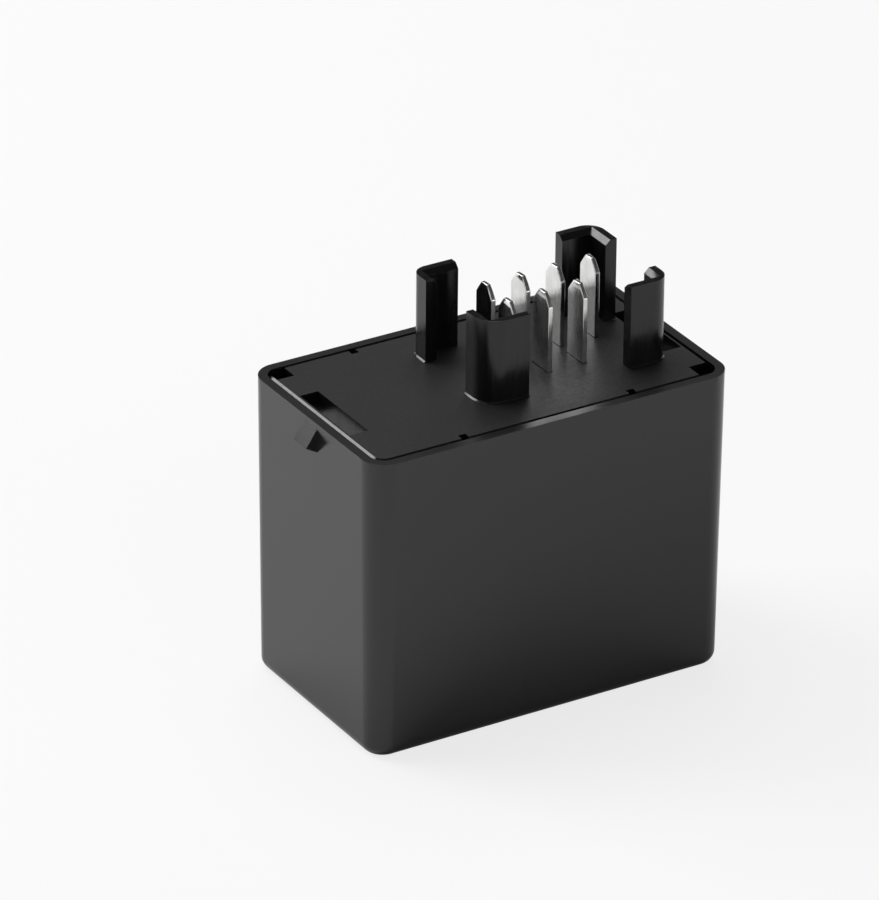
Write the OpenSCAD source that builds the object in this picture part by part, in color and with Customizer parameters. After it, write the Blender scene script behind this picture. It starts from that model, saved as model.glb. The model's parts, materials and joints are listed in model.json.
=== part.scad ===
// Seven-terminal plug-in relay unit for a vehicle, standing on the closed end of its cover with its
// blade terminals up.  A moulded cover is closed by a base plate that carries the blades inside four
// guard walls.  Under the plate hangs a circuit board with two hinged-armature relays: one flashes
// the turn signals, the other is the side-stand interlock.
// X runs along the long side, Y along the depth, Z up; z = 0 is the closed end.  Millimetres.

/* [Cover] */
// Length of the cover at its open end
cover_l = 40; // [39:0.1:50]
// Depth of the cover at its open end
cover_d = 23.7; // [23.5:0.1:30]
// Height of the cover
cover_h = 31.8; // [31:0.1:40]
// Wall below the base plate
cover_wall = 1.6; // [1.3:0.05:1.7]
// Wall left beside the base plate
rim_wall = 0.95; // [0.8:0.05:1.2]
// Floor thickness at the closed end
cover_floor = 1.6; // [1:0.1:2]
// Outer corner radius at the open end
corner_r = 2.5; // [2.4:0.1:4]
// Radius round the closed end
end_r = 1.3; // [0.5:0.1:1.5]
// Draft of every wall, in degrees
draft = 0.5; // [0:0.1:1]

/* [Locking barbs] */
// Width of the barb on each end wall
barb_w = 2.4; // [1.5:0.1:6]
// How far the barb stands out
barb_out = 1.2; // [0.4:0.05:2]
// Distance from the rim down to the start of the ramp
barb_drop = 0.5; // [0.2:0.1:2]
// Height of the ramp
barb_ramp = 1.8; // [1:0.1:4]
// Height of the return under the ramp
barb_return = 0.7; // [0.2:0.1:2]

/* [Base plate] */
// Thickness of the base plate
plate_t = 2.4; // [1.8:0.1:3]
// Gap between the plate and the cover's rim
plate_fit = 0.08; // [0.05:0.01:0.2]
// Chamfer round the plate's top edge
plate_chamfer = 0.3; // [0.1:0.05:0.5]
// Length of the latch pocket in each end of the plate
pocket_l = 9.4; // [4:0.1:14]
// Width of the latch pocket
pocket_w = 2; // [1:0.1:3]
// Depth of the latch pocket
pocket_depth = 1.2; // [0.3:0.1:1.5]
// Size of the square vent at two opposite corners
vent = 1.9; // [1:0.1:2.5]
// Distance of the relief slits from the middle
slit_x = 9.3; // [6:0.1:14]
// Width of a relief slit
slit_w = 0.8; // [0.5:0.1:1.5]

/* [Terminal guards] */
// Length of the rectangle that the four guards stand on
shroud_l = 20.7; // [20:0.1:24]
// Depth of that rectangle
shroud_d = 13.9; // [13:0.1:16]
// Distance from the plate's middle to the rectangle's middle, along X
shroud_x = 5.8; // [3:0.1:6.5]
// Distance from the plate's middle to the rectangle's middle, along Y
shroud_y = 0.7; // [0:0.1:1.5]
// Height of the guards above the plate
guard_h = 8.7; // [6:0.1:12]
// Wall thickness of the guards
guard_t = 1.25; // [1:0.05:1.6]
// Lead-in chamfer along the inner top edges
guard_lead = 0.5; // [0.2:0.05:0.8]

/* [Terminals] */
// Width of a blade
blade_w = 2.8; // [2.2:0.1:3.4]
// Thickness of a blade
blade_t = 0.5; // [0.4:0.1:0.8]
// Height of a blade above the plate
blade_h = 8.15; // [6:0.05:10]
// Distance between neighbouring blades along a row
pitch_x = 3.9; // [3.2:0.1:4.2]
// Distance between the two rows
pitch_y = 4.08; // [3.9:0.01:4.6]
// Distance from the guards' middle to the middle of the blades, along X
blade_shift = 0.85; // [0:0.05:1]

/* [Circuit board] */
// Thickness of the board
board_t = 1.6; // [1:0.1:2]
// Gap between the board and the base plate
board_gap = 0.6; // [0.3:0.1:1.5]
// Gap between the board's edge and the cover
board_fit = 0.25; // [0.15:0.05:1]

/* [Relays] */
// Distance from the middle of the unit to the middle of each relay
relay_x = 11.4; // [11:0.1:16]
// Gap between the board and the yoke
relay_gap = 1.8; // [1.5:0.1:3]
// Position of the coil's axis along Y
coil_y = -0.2; // [-0.5:0.1:0.2]
// Height of the bobbin
bobbin_h = 15.3; // [10:0.1:16]
// Side of the bobbin's square flanges
flange_w = 12.6; // [10:0.1:12.8]
// Radius of the iron core
core_r = 2.5; // [2:0.1:3]
// Space left between the winding and the flanges' edges
winding_inset = 0.4; // [0.2:0.1:2]
// Thickness of the yoke strip
yoke_t = 1.5; // [1:0.1:2]
// Width of the yoke strip
yoke_w = 10; // [8:0.1:11]
// Thickness of the armature
armature_t = 1.2; // [0.8:0.1:1.6]
// Angle by which the armature opens, in degrees
armature_open = 4; // [2:0.5:5]

/* [Contacts] */
// Distance from the coil's axis to the contacts, along Y
contact_front = 7.5; // [7.3:0.05:7.7]
// Radius of a contact's head
contact_r = 1.1; // [0.8:0.1:1.3]
// Thickness of a contact's head
contact_t = 0.5; // [0.3:0.1:0.8]
// Thickness of the moving contact's leaf
leaf_t = 0.2; // [0.1:0.05:0.3]
// Thickness of the fixed contacts' strips
strip_t = 0.6; // [0.4:0.1:0.8]

/* [Electronics] */
// Radius of the timing capacitor
capacitor_r = 4; // [3:0.1:4.3]
// Length of the timing capacitor
capacitor_l = 11.5; // [7:0.5:14]
// Radius of the diode's body
diode_r = 1.35; // [1:0.05:1.4]

/* [Hidden] */
$fn = 64;

lap = 0.1;          // overlap of solids that are joined
slide_fit = 0.05;   // gap round a pin or blade in its hole
barb_bite = 0.02;   // how far a barb's ends start inside the wall
cavity_r = max(corner_r - cover_wall, 1.1);
floor_r = max(end_r - 0.8, 0.2);

// Levels, from the rim down
plate_bottom = cover_h - plate_t;
board_top = plate_bottom - board_gap;
board_bottom = board_top - board_t;
solder_h = 0.6;
yoke_top = board_bottom - relay_gap;
bobbin_top = yoke_top - yoke_t;
bobbin_bottom = bobbin_top - bobbin_h;
pole_t = 1;
pole_z = bobbin_bottom - pole_t;

// Base plate and board outlines
plate_l = cover_l - 2 * (rim_wall + plate_fit);
plate_d = cover_d - 2 * (rim_wall + plate_fit);
plate_r = corner_r - rim_wall - plate_fit;
board_l = cover_l - 2 * (cover_wall + board_fit);
board_d = cover_d - 2 * (cover_wall + board_fit);
board_r = cavity_r;
stub = 0.4;         // length of a soldered pin's end above the board

// Blade positions: four columns in two rows, the front row one blade short
blade_cols = [for (i = [-1.5 : 1.5]) shroud_x + blade_shift + i * pitch_x];
blade_back = -0.22;
blade_rows = [for (s = [-1, 1]) shroud_y + blade_back + s * pitch_y / 2];
blade_at = [
    [blade_cols[0], blade_rows[1]], [blade_cols[1], blade_rows[1]],
    [blade_cols[2], blade_rows[1]], [blade_cols[3], blade_rows[1]],
    [blade_cols[0], blade_rows[0]], [blade_cols[1], blade_rows[0]], [blade_cols[2], blade_rows[0]],
];
tip_h = 1.3;
tip_w = 1;
tip_bevel = 0.05;
shoulder_w = min(blade_w + 0.8, pitch_y - 0.2);
shoulder_h = 0.7;
tail_w = 1.4;
tail_drop = 0.6;

// Guards: arm lengths along X and Y and the outer corner radius of each
guard_back_left = [4.6, 2.9, 1.5];
guard_front_left = [4.9, 3.6, 2.4];
guard_back_right = [4.4, 4.1, 1.8];
guard_front_right = [4.5, 2.9, 1.7];
foot = 0.15;

// Distances of the pockets and vents from the plate's edges
pocket_inset = 0.5;
vent_inset = 0.3;
vent_edge = 0.25;

// Bobbin
flange_t = 1.1;
flange_r = 1.5;
tube_r = core_r + slide_fit + 0.75;
pin_r = 0.35;
pin_depth = 0.9;
pin_inset = 0.7;
spigot_r = core_r - 0.7;
winding_r = flange_w / 2 - winding_inset;

// Hinge of the armature, at the lower end of the yoke
yoke_front = coil_y - flange_w / 2 + 1.3;
yoke_gap = 0.2;
yoke_inner = coil_y + flange_w / 2 + yoke_gap;
yoke_outer = yoke_inner + yoke_t;
air_gap = 0.1;
hinge_y = (yoke_inner + yoke_outer) / 2;
hinge_z = pole_z - air_gap / 2;
contact_y = coil_y - contact_front;
contact_reach = hinge_y - contact_y;
armature_top = pole_z - air_gap;
armature_bottom = armature_top - armature_t;
armature_w = 9;
armature_tip = coil_y - 5.7;
heel_y = yoke_outer + 1.6;
heel_w = 3;
leaf_bottom = armature_bottom - leaf_t;

// Fixed contacts
contact_gap = 0.05;
strip_front = contact_y - contact_r - strip_t;
strip_w = 3;
strip_x = 1.6;
strip_tail_w = 1.6;
tab_side = 1.3;
open_face = armature_bottom + contact_t + contact_gap;
rest_face = hinge_z - (contact_reach + contact_r) * sin(armature_open)
    - (hinge_z - leaf_bottom + contact_t) * cos(armature_open) - contact_gap;
shank_r = 0.6;

// Return spring between the armature's heel and a lug on the yoke
spring_r = 0.62;
spring_wire = 0.15;
spring_turns = 12;
spring_y = yoke_outer + 0.95;
spring_bottom = pole_z + 1.2;
spring_top = spring_bottom + 6;
lug_z = spring_top + 0.8;
lug_t = 0.8;
lug_w = 2;

// Lugs of the yoke that stand in the board
board_lug_x = 3.8;
board_lug_w = 1.6;

leaf_root = 4.4;
leaf_rivet_r = 0.7;
leaf_rivets = [for (s = [-1, 1]) [s * 2.2, coil_y + 2.2]];

// Parts on the board
capacitor_y = 0.5;
capacitor_gap = 1;
capacitor_lead_x = 1.75;
capacitor_lead_r = 0.3;
chip_y = 7.15;
diode_y = -7.4;
lead_x = 4.1;
diode_lead_r = 0.35;
shunt_y = -4.9;
shunt_half = 3;
shunt_r = 0.5;
lead_holes = [
    for (s = [-1, 1]) [s * capacitor_lead_x, capacitor_y, capacitor_lead_r],
    for (s = [-1, 1]) [s * lead_x, diode_y, diode_lead_r],
    for (s = [-1, 1]) [s * shunt_half, shunt_y, shunt_r],
];

// ---------------------------------------------------------------- shared shapes

// A block with round upright corners, h high.  The children are the section of its edge, drawn
// from the corner's upright axis out to the corner radius r.
module round_block(l, d, r, h) {
    x = l / 2 - r;
    y = d / 2 - r;
    for (sx = [-1, 1], sy = [-1, 1])
        translate([sx * x, sy * y, 0]) rotate_extrude() children();
    for (a = [0, 180])
        rotate([0, 0, a]) translate([x, 0, 0]) rotate([90, 0, 0])
            linear_extrude(2 * y, center = true) children();
    for (a = [90, 270])
        rotate([0, 0, a]) translate([y, 0, 0]) rotate([90, 0, 0])
            linear_extrude(2 * x, center = true) children();
    translate([-x - lap, -y, 0]) cube([2 * (x + lap), 2 * y, h]);
    translate([-x, -y - lap, 0]) cube([2 * x, 2 * (y + lap), h]);
}

// Section of a drafted wall, r wide at height h and rounded by e at the bottom
module drafted_section(r, h, e) {
    foot_r = r - h * tan(draft);
    intersection() {
        union() {
            polygon([[0, 0], [foot_r - e, 0], [foot_r - e, e], [foot_r, e], [r, h], [0, h]]);
            translate([foot_r - e, e]) circle(e);
        }
        square([r, h]);
    }
}

// Flat rectangle with round corners
module round_rect(l, d, r) {
    for (sx = [-1, 1], sy = [-1, 1])
        translate([sx * (l / 2 - r), sy * (d / 2 - r)]) circle(r);
    square([l - 2 * r, d], center = true);
    square([l, d - 2 * r], center = true);
}

// Upright box given by its middle in X and Y and by its two levels
module post(x, y, l, d, low, high) {
    translate([x - l / 2, y - d / 2, low]) cube([l, d, high - low]);
}

// A section drawn in Y (across) and Z (up), run along X between two places
module along_x(from, to) {
    translate([from, 0, 0]) rotate([90, 0, 90]) linear_extrude(to - from) children();
}

// Round wire along a path of points
function unit(v) = v / norm(v);
function carry(n, t) = unit(n - (n * t) * t);
function tangents(path) = [for (i = [0 : len(path) - 1])
    unit(path[min(i + 1, len(path) - 1)] - path[max(i - 1, 0)])];
function normals(t) = [for (i = 0, n = carry([1, 0, 0], t[0]); i < len(t);
    i = i + 1, n = i < len(t) ? carry(n, t[i]) : n) n];

module wire(path, r, sides) {
    t = tangents(path);
    n = normals(t);
    last = len(path) - 1;
    points = [for (i = [0 : last], k = [0 : sides - 1])
        let (a = 360 * k / sides) path[i] + r * (cos(a) * n[i] + sin(a) * cross(t[i], n[i]))];
    skin = [for (i = [0 : last - 1], k = [0 : sides - 1], half = [0, 1])
        let (a = i * sides + k, b = i * sides + (k + 1) % sides)
            half == 0 ? [a, a + sides, b + sides] : [a, b + sides, b]];
    ends = [[for (k = [0 : sides - 1]) k], [for (k = [sides - 1 : -1 : 0]) last * sides + k]];
    polyhedron(points, concat(skin, ends));
}

// Points of a cubic curve from a to d, drawn towards b and c
function curve(a, b, c, d, steps) = [for (i = [0 : steps])
    let (s = i / steps, q = 1 - s) q * q * q * a + 3 * q * q * s * b + 3 * q * s * s * c + s * s * s * d];

// ---------------------------------------------------------------- cover

module cover_outside() {
    round_block(cover_l, cover_d, corner_r, cover_h) drafted_section(corner_r, cover_h, end_r);
}

// The cavity runs on past the rim at the same draft
module cover_cavity() {
    h = cover_h - cover_floor + 1;
    spread = tan(draft);
    r = cavity_r + spread;
    translate([0, 0, cover_floor])
        round_block(cover_l - 2 * (cover_wall - spread), cover_d - 2 * (cover_wall - spread), r, h)
            drafted_section(r, h, floor_r);
}

// Wedge that a mating latch rides over and drops behind
module barb() {
    root = cover_l / 2 - cover_wall / 2;
    edge_z = cover_h - barb_drop - barb_ramp;
    translate([0, barb_w / 2, 0]) rotate([90, 0, 0]) linear_extrude(barb_w)
        polygon([
            [root, cover_h - barb_drop], [cover_l / 2 - barb_bite, cover_h - barb_drop],
            [cover_l / 2 + barb_out, edge_z],
            [cover_l / 2 - barb_bite, edge_z - barb_return], [root, edge_z - barb_return],
        ]);
}

module cover() {
    color("#1b1b1d") {
        difference() {
            cover_outside();
            cover_cavity();
            // seat of the base plate
            translate([0, 0, plate_bottom])
                linear_extrude(plate_t + 1)
                    round_rect(cover_l - 2 * rim_wall, cover_d - 2 * rim_wall, corner_r - rim_wall);
        }
        barb();
        mirror([1, 0, 0]) barb();
    }
}

// ---------------------------------------------------------------- base plate

module plate_section() {
    polygon([
        [0, 0], [plate_r, 0], [plate_r, plate_t - plate_chamfer],
        [plate_r - plate_chamfer, plate_t], [0, plate_t],
    ]);
}

// An L-shaped guard in the corner of the first quadrant: its arms run along X and Y
module guard(size) {
    arm_x = size[0];
    arm_y = size[1];
    r = size[2];
    difference() {
        translate([0, 0, -lap]) linear_extrude(guard_h + lap) guard_outline(arm_x, arm_y, r);
        along_x(guard_t, arm_x + 1) lead_in();
        swap_xy() along_x(guard_t, arm_y + 1) lead_in();
        intersection() {
            along_x(guard_t - guard_lead, guard_t + lap) lead_in();
            swap_xy() along_x(guard_t - guard_lead, guard_t + lap) lead_in();
        }
    }
    // fillet round the foot of the outer faces
    along_x(r, arm_x) foot_fillet();
    swap_xy() along_x(r, arm_y) foot_fillet();
    translate([r, r, 0]) rotate([0, 0, 180]) rotate_extrude(angle = 90)
        translate([r, 0]) mirror([1, 0]) foot_fillet();
}

module swap_xy() {
    mirror([1, -1, 0]) children();
}

module guard_outline(arm_x, arm_y, r) {
    difference() {
        intersection() {
            square([arm_x, arm_y]);
            union() {
                translate([r, r]) circle(r);
                translate([r, 0]) square([arm_x, arm_y]);
                translate([0, r]) square([arm_x, arm_y]);
            }
        }
        translate([guard_t, guard_t]) square([arm_x, arm_y]);
    }
}

// Section of the chamfer along an inner top edge, in Y and Z
module lead_in() {
    edge = guard_t - guard_lead;
    polygon([
        [edge, guard_h], [edge, guard_h + 1], [guard_t + 1, guard_h + 1],
        [guard_t + 1, guard_h - guard_lead], [guard_t, guard_h - guard_lead],
    ]);
}

// Section of the fillet outside a face that stands at Y = 0
module foot_fillet() {
    polygon([[-foot, 0], [0, foot], [lap, foot], [lap, -lap], [-foot, -lap]]);
}

module guards() {
    translate([shroud_x, shroud_y, cover_h]) {
        translate([-shroud_l / 2, -shroud_d / 2, 0]) guard(guard_front_left);
        translate([-shroud_l / 2, shroud_d / 2, 0]) mirror([0, 1, 0]) guard(guard_back_left);
        translate([shroud_l / 2, -shroud_d / 2, 0]) mirror([1, 0, 0]) guard(guard_front_right);
        translate([shroud_l / 2, shroud_d / 2, 0]) rotate([0, 0, 180]) guard(guard_back_right);
    }
}

module blade_slots() {
    for (p = blade_at) {
        post(p[0], p[1], blade_t + 2 * slide_fit, blade_w + 2 * slide_fit,
            plate_bottom - 1, cover_h + 1);
        post(p[0], p[1], blade_t + 2 * slide_fit, shoulder_w + 2 * slide_fit,
            plate_bottom - 1, plate_bottom + shoulder_h);
    }
}

module plate_reliefs() {
    // latch pocket in the middle of each end
    for (s = [-1, 1])
        post(s * (plate_l / 2 - pocket_inset - pocket_w / 2), 0, pocket_w, pocket_l,
            cover_h - pocket_depth, cover_h + 1);
    // vents at two opposite corners
    for (s = [-1, 1])
        post(s * (plate_l / 2 - vent_inset - vent / 2), -s * (plate_d / 2 - vent_edge - vent / 2),
            vent, vent, plate_bottom - 1, cover_h + 1);
    // relief slits in both long edges
    for (sx = [-1, 1], sy = [-1, 1])
        post(sx * slit_x, sy * plate_d / 2, slit_w, 2, plate_bottom - 1, cover_h + 1);
}

module base() {
    stand_off_r = 1;
    stand_off_inset = 2;
    color("#19191b") {
        difference() {
            union() {
                translate([0, 0, plate_bottom])
                    round_block(plate_l, plate_d, plate_r, plate_t) plate_section();
                guards();
            }
            blade_slots();
            plate_reliefs();
        }
        for (sx = [-1, 1], sy = [-1, 1])
            translate([
                sx * (board_l / 2 - stand_off_inset), sy * (board_d / 2 - stand_off_inset), board_top,
            ])
                cylinder(h = board_gap + lap, r = stand_off_r);
    }
}

// ---------------------------------------------------------------- terminals

// Outline of a terminal in Y and Z: bevelled blade, shoulders under the plate, soldered tail
module terminal_outline() {
    tip = cover_h + blade_h;
    low = board_bottom - tail_drop;
    ledge = plate_bottom + shoulder_h - slide_fit;
    polygon([
        [-tail_w / 2, low], [tail_w / 2, low], [tail_w / 2, board_top], [shoulder_w / 2, board_top],
        [shoulder_w / 2, ledge], [blade_w / 2, ledge],
        [blade_w / 2, tip - tip_h], [tip_w / 2, tip],
        [-tip_w / 2, tip], [-blade_w / 2, tip - tip_h],
        [-blade_w / 2, ledge], [-shoulder_w / 2, ledge],
        [-shoulder_w / 2, board_top], [-tail_w / 2, board_top],
    ]);
}

// Side view of the same strip in X and Z, thinned towards the tip
module terminal_side() {
    tip = cover_h + blade_h;
    low = board_bottom - tail_drop;
    thin = blade_t / 2 - tip_bevel;
    polygon([
        [-blade_t / 2, low], [blade_t / 2, low], [blade_t / 2, tip - tip_h / 2],
        [thin, tip], [-thin, tip], [-blade_t / 2, tip - tip_h / 2],
    ]);
}

module terminal(i) {
    color("#d8d3c4")
        translate([blade_at[i][0], blade_at[i][1], 0])
            intersection() {
                along_x(-blade_t, blade_t) terminal_outline();
                rotate([90, 0, 0]) linear_extrude(2 * shoulder_w, center = true) terminal_side();
            }
}

// Solder round each tail, on the board's lower face
module terminal_solder() {
    color("#b9bcc0")
        for (p = blade_at)
            difference() {
                translate([p[0], p[1], board_bottom - solder_h])
                    cylinder(h = solder_h, r1 = 0.8, r2 = 1.25);
                post(p[0], p[1], blade_t, tail_w, board_bottom - 1, board_bottom + 1);
            }
}

// ---------------------------------------------------------------- circuit board

// Every hole through the board that one relay needs, about the relay's own middle
module relay_board_holes() {
    coil_pin_places() cylinder(h = board_t + 2, r = pin_r + slide_fit);
    for (s = [-1, 1]) {
        post(s * board_lug_x, yoke_front + lap - lug_t / 2,
            board_lug_w + 2 * slide_fit, lug_t + 2 * slide_fit, 0, board_t + 2);
        post(s * (strip_x + strip_w / 2), strip_front + strip_t / 2,
            strip_tail_w + 2 * slide_fit, strip_t + 2 * slide_fit, 0, board_t + 2);
    }
}

module circuit_board() {
    color("#3f6b3a")
        difference() {
            translate([0, 0, board_bottom])
                linear_extrude(board_t) round_rect(board_l, board_d, board_r);
            for (p = blade_at)
                post(p[0], p[1], blade_t + 2 * slide_fit, tail_w + 2 * slide_fit,
                    board_bottom - 1, board_top + 1);
            translate([0, 0, board_bottom - 1]) {
                at_flasher() relay_board_holes();
                at_stand() relay_board_holes();
                for (p = lead_holes)
                    translate([p[0], p[1], 0]) cylinder(h = board_t + 2, r = p[2] + slide_fit);
            }
        }
}

// ---------------------------------------------------------------- relays

module at_flasher() {
    translate([-relay_x, 0, 0]) children();
}

module at_stand() {
    translate([relay_x, 0, 0]) children();
}

// Turns what the armature carries from its closed place to where its spring holds it open
module opened() {
    translate([0, hinge_y, hinge_z]) rotate([armature_open, 0, 0])
        translate([0, -hinge_y, -hinge_z]) children();
}

module coil_pin_places() {
    for (s = [-1, 1])
        translate([s * (flange_w / 2 - pin_inset), coil_y - flange_w / 2 + pin_inset, 0]) children();
}

module bobbin() {
    color("#d9d2bf")
        difference() {
            translate([0, coil_y, bobbin_bottom]) {
                cylinder(h = bobbin_h, r = tube_r);
                for (z = [0, bobbin_h - flange_t])
                    translate([0, 0, z]) linear_extrude(flange_t)
                        round_rect(flange_w, flange_w, flange_r);
            }
            translate([0, coil_y, bobbin_bottom - 1]) cylinder(h = bobbin_h + 2, r = core_r + slide_fit);
            translate([0, 0, bobbin_top - pin_depth]) coil_pin_places() cylinder(h = 2, r = pin_r);
        }
}

module winding() {
    round_over = 0.4;
    wound_h = bobbin_h - 2 * flange_t;
    color("#a4561f")
        translate([0, coil_y, bobbin_bottom + flange_t])
            rotate_extrude()
                polygon([
                    [tube_r, 0], [winding_r - round_over, 0], [winding_r, round_over],
                    [winding_r, wound_h - round_over], [winding_r - round_over, wound_h],
                    [tube_r, wound_h],
                ]);
}

module coil_pins() {
    color("#c9c4b4")
        coil_pin_places()
            translate([0, 0, bobbin_top - pin_depth])
                cylinder(h = board_top + stub - bobbin_top + pin_depth, r = pin_r);
}

// Turned core: pole disc at the bottom, spigot riveted over the yoke at the top
module core() {
    pole_r = core_r + 1.6;
    head_h = 0.5;
    color("#8e9094")
        translate([0, coil_y, 0])
            rotate_extrude()
                polygon([
                    [0, pole_z], [pole_r, pole_z], [pole_r, bobbin_bottom], [core_r, bobbin_bottom],
                    [core_r, bobbin_top], [spigot_r, bobbin_top], [spigot_r, yoke_top],
                    [spigot_r + 0.6, yoke_top], [spigot_r, yoke_top + head_h], [0, yoke_top + head_h],
                ]);
}

// Strip folded over the coil's top and down its back, with two lugs up into the board
module yoke() {
    bend = 0.2;
    color("#9a9ca0") {
        difference() {
            along_x(-yoke_w / 2, yoke_w / 2) yoke_side(bend);
            translate([0, coil_y, bobbin_top - 1]) cylinder(h = yoke_t + 2, r = spigot_r + slide_fit);
        }
        for (s = [-1, 1])
            post(s * board_lug_x, yoke_front + lap - lug_t / 2, board_lug_w, lug_t,
                bobbin_top, board_top + stub);
        spring_lug();
    }
}

// The folded strip seen from its end, in Y and Z
module yoke_side(bend) {
    outer = bend + yoke_t;
    difference() {
        union() {
            translate([yoke_front, bobbin_top]) square([yoke_outer - outer - yoke_front, yoke_t]);
            translate([yoke_inner, pole_z]) square([yoke_t, yoke_top - outer - pole_z]);
            translate([yoke_outer - outer, yoke_top - outer])
                intersection() {
                    circle(outer);
                    square(outer);
                }
        }
        translate([yoke_outer - outer, yoke_top - outer]) circle(bend);
    }
}

// Notched lug that the return spring's upper end is hooked over
module spring_lug() {
    reach = spring_y + 0.75 - yoke_outer;
    difference() {
        translate([-lug_w / 2, yoke_outer - lap, lug_z]) cube([lug_w, reach + lap, lug_t]);
        translate([0, spring_y, lug_z - 1]) cylinder(h = lug_t + 2, r = spring_wire + 0.15);
    }
}

module armature() {
    rivet_head = 0.35;
    color("#8b8d92")
        opened() {
            difference() {
                translate([0, 0, armature_bottom]) linear_extrude(armature_t)
                    polygon([
                        [-armature_w / 2, yoke_outer + 0.3], [-armature_w / 2, armature_tip + 1.5],
                        [-armature_w / 2 + 1.5, armature_tip], [armature_w / 2 - 1.5, armature_tip],
                        [armature_w / 2, armature_tip + 1.5], [armature_w / 2, yoke_outer + 0.3],
                        [heel_w / 2, yoke_outer + 0.3], [heel_w / 2, heel_y],
                        [-heel_w / 2, heel_y], [-heel_w / 2, yoke_outer + 0.3],
                    ]);
                translate([0, spring_y, armature_bottom - 1])
                    cylinder(h = armature_t + 2, r = spring_wire + 0.2);
            }
            for (p = leaf_rivets)
                translate([p[0], p[1], leaf_bottom - rivet_head])
                    cylinder(h = leaf_t + rivet_head + lap, r = leaf_rivet_r);
        }
}

// Springy strip under the armature that carries the moving contact
module leaf() {
    root_w = 6.6;
    end_w = 2.6;
    color("#c08a4e")
        opened()
            translate([0, 0, leaf_bottom])
                linear_extrude(leaf_t)
                    difference() {
                        polygon([
                            [-root_w / 2, leaf_root], [-root_w / 2, coil_y - 2.2],
                            [-end_w / 2, armature_tip - 0.3], [-end_w / 2, contact_y - contact_r + 0.1],
                            [end_w / 2, contact_y - contact_r + 0.1], [end_w / 2, armature_tip - 0.3],
                            [root_w / 2, coil_y - 2.2], [root_w / 2, leaf_root],
                        ]);
                        for (p = leaf_rivets) translate(p) circle(leaf_rivet_r + slide_fit);
                        translate([0, contact_y]) circle(shank_r + slide_fit / 2);
                    }
}

// Section of a contact rivet's head, its crown rounded off
module contact_head() {
    polygon([
        [0, 0], [contact_r, 0], [contact_r, contact_t * 0.5], [contact_r * 0.75, contact_t],
        [0, contact_t],
    ]);
}

module moving_contact() {
    color("#d5d6d8")
        opened()
            translate([0, contact_y, 0]) {
                translate([0, 0, armature_bottom]) rotate_extrude() contact_head();
                translate([0, 0, leaf_bottom]) mirror([0, 0, 1]) rotate_extrude() contact_head();
                translate([0, 0, leaf_bottom - lap]) cylinder(h = leaf_t + 2 * lap, r = shank_r);
            }
}

// Strip down from the board, then in over or under the moving contact; side is -1 or 1
module fixed_strip(side, tab_low) {
    x_in = side * strip_x;
    x_out = side * (strip_x + strip_w);
    color("#c79a52")
        difference() {
            union() {
                translate([min(x_in, x_out), strip_front, tab_low])
                    cube([strip_w, strip_t, board_bottom - 0.4 - tab_low]);
                post((x_in + x_out) / 2, strip_front + strip_t / 2, strip_tail_w, strip_t,
                    board_bottom - 1, board_top + stub);
                translate([min(-side * tab_side, x_out), strip_front, tab_low])
                    cube([tab_side + strip_x + strip_w, contact_r * 2 + strip_t + 0.25, strip_t]);
            }
            translate([0, contact_y, tab_low - 1])
                cylinder(h = strip_t + 2, r = shank_r + slide_fit / 2);
        }
}

// Riveted contact: its head faces down from z = face when up is 1, and up when it is -1
module fixed_contact(face, up) {
    upset_r = 0.9;
    upset_h = 0.3;
    color("#d5d6d8")
        translate([0, contact_y, face]) mirror([0, 0, up > 0 ? 0 : 1]) {
            translate([0, 0, contact_t]) mirror([0, 0, 1]) rotate_extrude() contact_head();
            translate([0, 0, contact_t - lap]) cylinder(h = strip_t + 2 * lap, r = shank_r);
            translate([0, 0, contact_t + strip_t]) cylinder(h = upset_h, r = upset_r);
        }
}

module open_strip() {
    fixed_strip(-1, open_face + contact_t);
}

module rest_strip() {
    fixed_strip(1, rest_face - contact_t - strip_t);
}

module open_contact() {
    fixed_contact(open_face, 1);
}

module rest_contact() {
    fixed_contact(rest_face, -1);
}

// Coiled tension spring, its ends straight along its axis
module return_spring() {
    steps = 12;
    turn = [for (i = [0 : spring_turns * steps])
        let (a = 360 * i / steps)
            [spring_r * cos(a), spring_y + spring_r * sin(a),
                spring_bottom + (spring_top - spring_bottom) * i / (spring_turns * steps)]];
    lower = [for (z = [armature_bottom - 0.3, spring_bottom - 0.6]) [0, spring_y, z]];
    upper = [for (z = [spring_top + 0.5, lug_z + lug_t + 0.3]) [0, spring_y, z]];
    color("#a9abb0") wire(concat(lower, turn, upper), spring_wire, 6);
}

// Bare braid from the leaf round to the side of the yoke
module flex_lead() {
    r = 0.4;
    start = [-1.6, leaf_root - 0.9, leaf_bottom - 0.35 - r];
    side = -yoke_w / 2 - r;
    color("#b06a3a")
        wire(curve(start, start + [-3, 0, -2.4], [side - 0.6, hinge_y, pole_z - 3.5],
            [side, hinge_y, pole_z + 2.6], 14), r, 8);
}

// ---------------------------------------------------------------- electronics

module timing_capacitor() {
    body_top = board_bottom - capacitor_gap;
    groove = 0.3;
    groove_z = body_top - 1.6;
    low = body_top - capacitor_l;
    color("#23242a")
        translate([0, capacitor_y, 0]) {
            rotate_extrude()
                polygon([
                    [0, low], [capacitor_r - 0.5, low], [capacitor_r, low + 0.5],
                    [capacitor_r, groove_z - 0.5], [capacitor_r - groove, groove_z - 0.2],
                    [capacitor_r - groove, groove_z + 0.2], [capacitor_r, groove_z + 0.5],
                    [capacitor_r, body_top - 0.3], [capacitor_r - 0.3, body_top], [0, body_top],
                ]);
            for (s = [-1, 1])
                translate([s * capacitor_lead_x, 0, body_top - lap])
                    cylinder(h = board_top + stub - body_top + lap, r = capacitor_lead_r);
        }
}

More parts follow.
